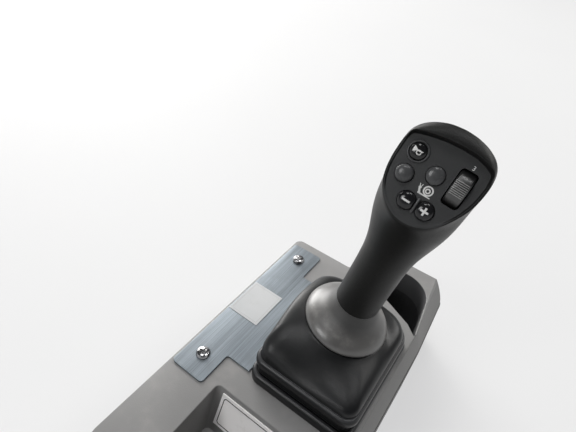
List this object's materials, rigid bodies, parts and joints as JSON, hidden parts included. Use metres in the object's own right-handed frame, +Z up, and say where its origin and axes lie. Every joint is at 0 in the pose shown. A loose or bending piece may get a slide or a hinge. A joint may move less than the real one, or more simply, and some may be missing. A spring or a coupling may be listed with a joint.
{
  "type": "joystick control console",
  "caption": "Two-axis control lever with a grip of sprung keys and a thumb roller, in a flared rubber boot on a moulded side console with a steel plate, pocket and tray.",
  "frame": {"origin": "centre of the four foot holes, at the console's underside", "axes": "+X inboard towards the operator, +Y forward, +Z up"},
  "size_m": [0.19, 0.37, 0.3631],
  "materials": {
    "console_grey": "fine grain, satin",
    "console_dark": "fine grain",
    "liner_black": "matt",
    "sign_white": "satin, blank",
    "plate_steel": "brushed",
    "label_white": "satin, blank",
    "screw_dark": "dark plated",
    "boot_rubber": "soft satin sheen",
    "housing_alloy": "cast, satin",
    "socket_black": "matt",
    "gimbal_steel": "turned",
    "grip_black": "fine-grained matt",
    "key_gloss": "gloss",
    "key_soft": "semi-gloss",
    "roller_black": "satin, ribbed"
  },
  "bodies": {
    "console": {"console_top": "console_grey", "console_base": "console_dark", "pocket_liner": "liner_black", "tray_sign": "sign_white", "steel_plate": "plate_steel", "plate_label": "label_white", "plate_screw_rear": "screw_dark", "plate_screw_front": "screw_dark", "boot_flange": "boot_rubber", "boot_skirt": "boot_rubber", "base_housing": "housing_alloy", "base_screws": "screw_dark", "connector_socket": "socket_black"},
    "gimbal": {"gimbal_ring": "gimbal_steel"},
    "lever": {"lever_shaft": "gimbal_steel", "boot_collar": "boot_rubber", "grip_front_shell": "grip_black", "grip_rear_shell": "grip_black", "grip_face": "grip_black", "horn_bezel": "key_gloss", "key_divider": "key_gloss", "roller_frame": "socket_black"},
    "horn_key": {"horn_button": "key_gloss"},
    "left_key": {"left_button": "key_soft"},
    "right_key": {"right_button": "key_soft"},
    "minus_key": {"minus_button": "key_gloss"},
    "plus_key": {"plus_button": "key_gloss"},
    "thumb_roller": {"roller": "roller_black"}
  },
  "joints": [
    {"name": "lever_fore_aft", "type": "hinge", "parent": "console", "child": "gimbal", "pos_m": [0.0206, 0.0473, 0.115], "axis": [1, 0, 0], "range_deg": [-13, 13], "stiffness_Nm_per_rad": 1.6},
    {"name": "lever_side", "type": "hinge", "parent": "gimbal", "child": "lever", "pos_m": [0.0206, 0.0473, 0.115], "axis": [0, 1, 0], "range_deg": [-13, 13], "stiffness_Nm_per_rad": 1.6},
    {"name": "horn_key_press", "type": "slide", "parent": "lever", "child": "horn_key", "axis": [-0.0862, 0.8572, -0.5078], "range_m": [0, 0.0016], "stiffness_N_per_m": 900},
    {"name": "left_key_press", "type": "slide", "parent": "lever", "child": "left_key", "axis": [-0.0862, 0.8572, -0.5078], "range_m": [0, 0.0016], "stiffness_N_per_m": 900},
    {"name": "right_key_press", "type": "slide", "parent": "lever", "child": "right_key", "axis": [-0.0862, 0.8572, -0.5078], "range_m": [0, 0.0016], "stiffness_N_per_m": 900},
    {"name": "minus_key_press", "type": "slide", "parent": "lever", "child": "minus_key", "axis": [-0.0862, 0.8572, -0.5078], "range_m": [0, 0.0016], "stiffness_N_per_m": 900},
    {"name": "plus_key_press", "type": "slide", "parent": "lever", "child": "plus_key", "axis": [-0.0862, 0.8572, -0.5078], "range_m": [0, 0.0016], "stiffness_N_per_m": 900},
    {"name": "thumb_roller_turn", "type": "hinge", "parent": "lever", "child": "thumb_roller", "pos_m": [0.07391, 0.04354, 0.32995], "axis": [0.9859, 0, -0.1673], "range_deg": [-25, 25], "stiffness_Nm_per_rad": 0.03}
  ]
}
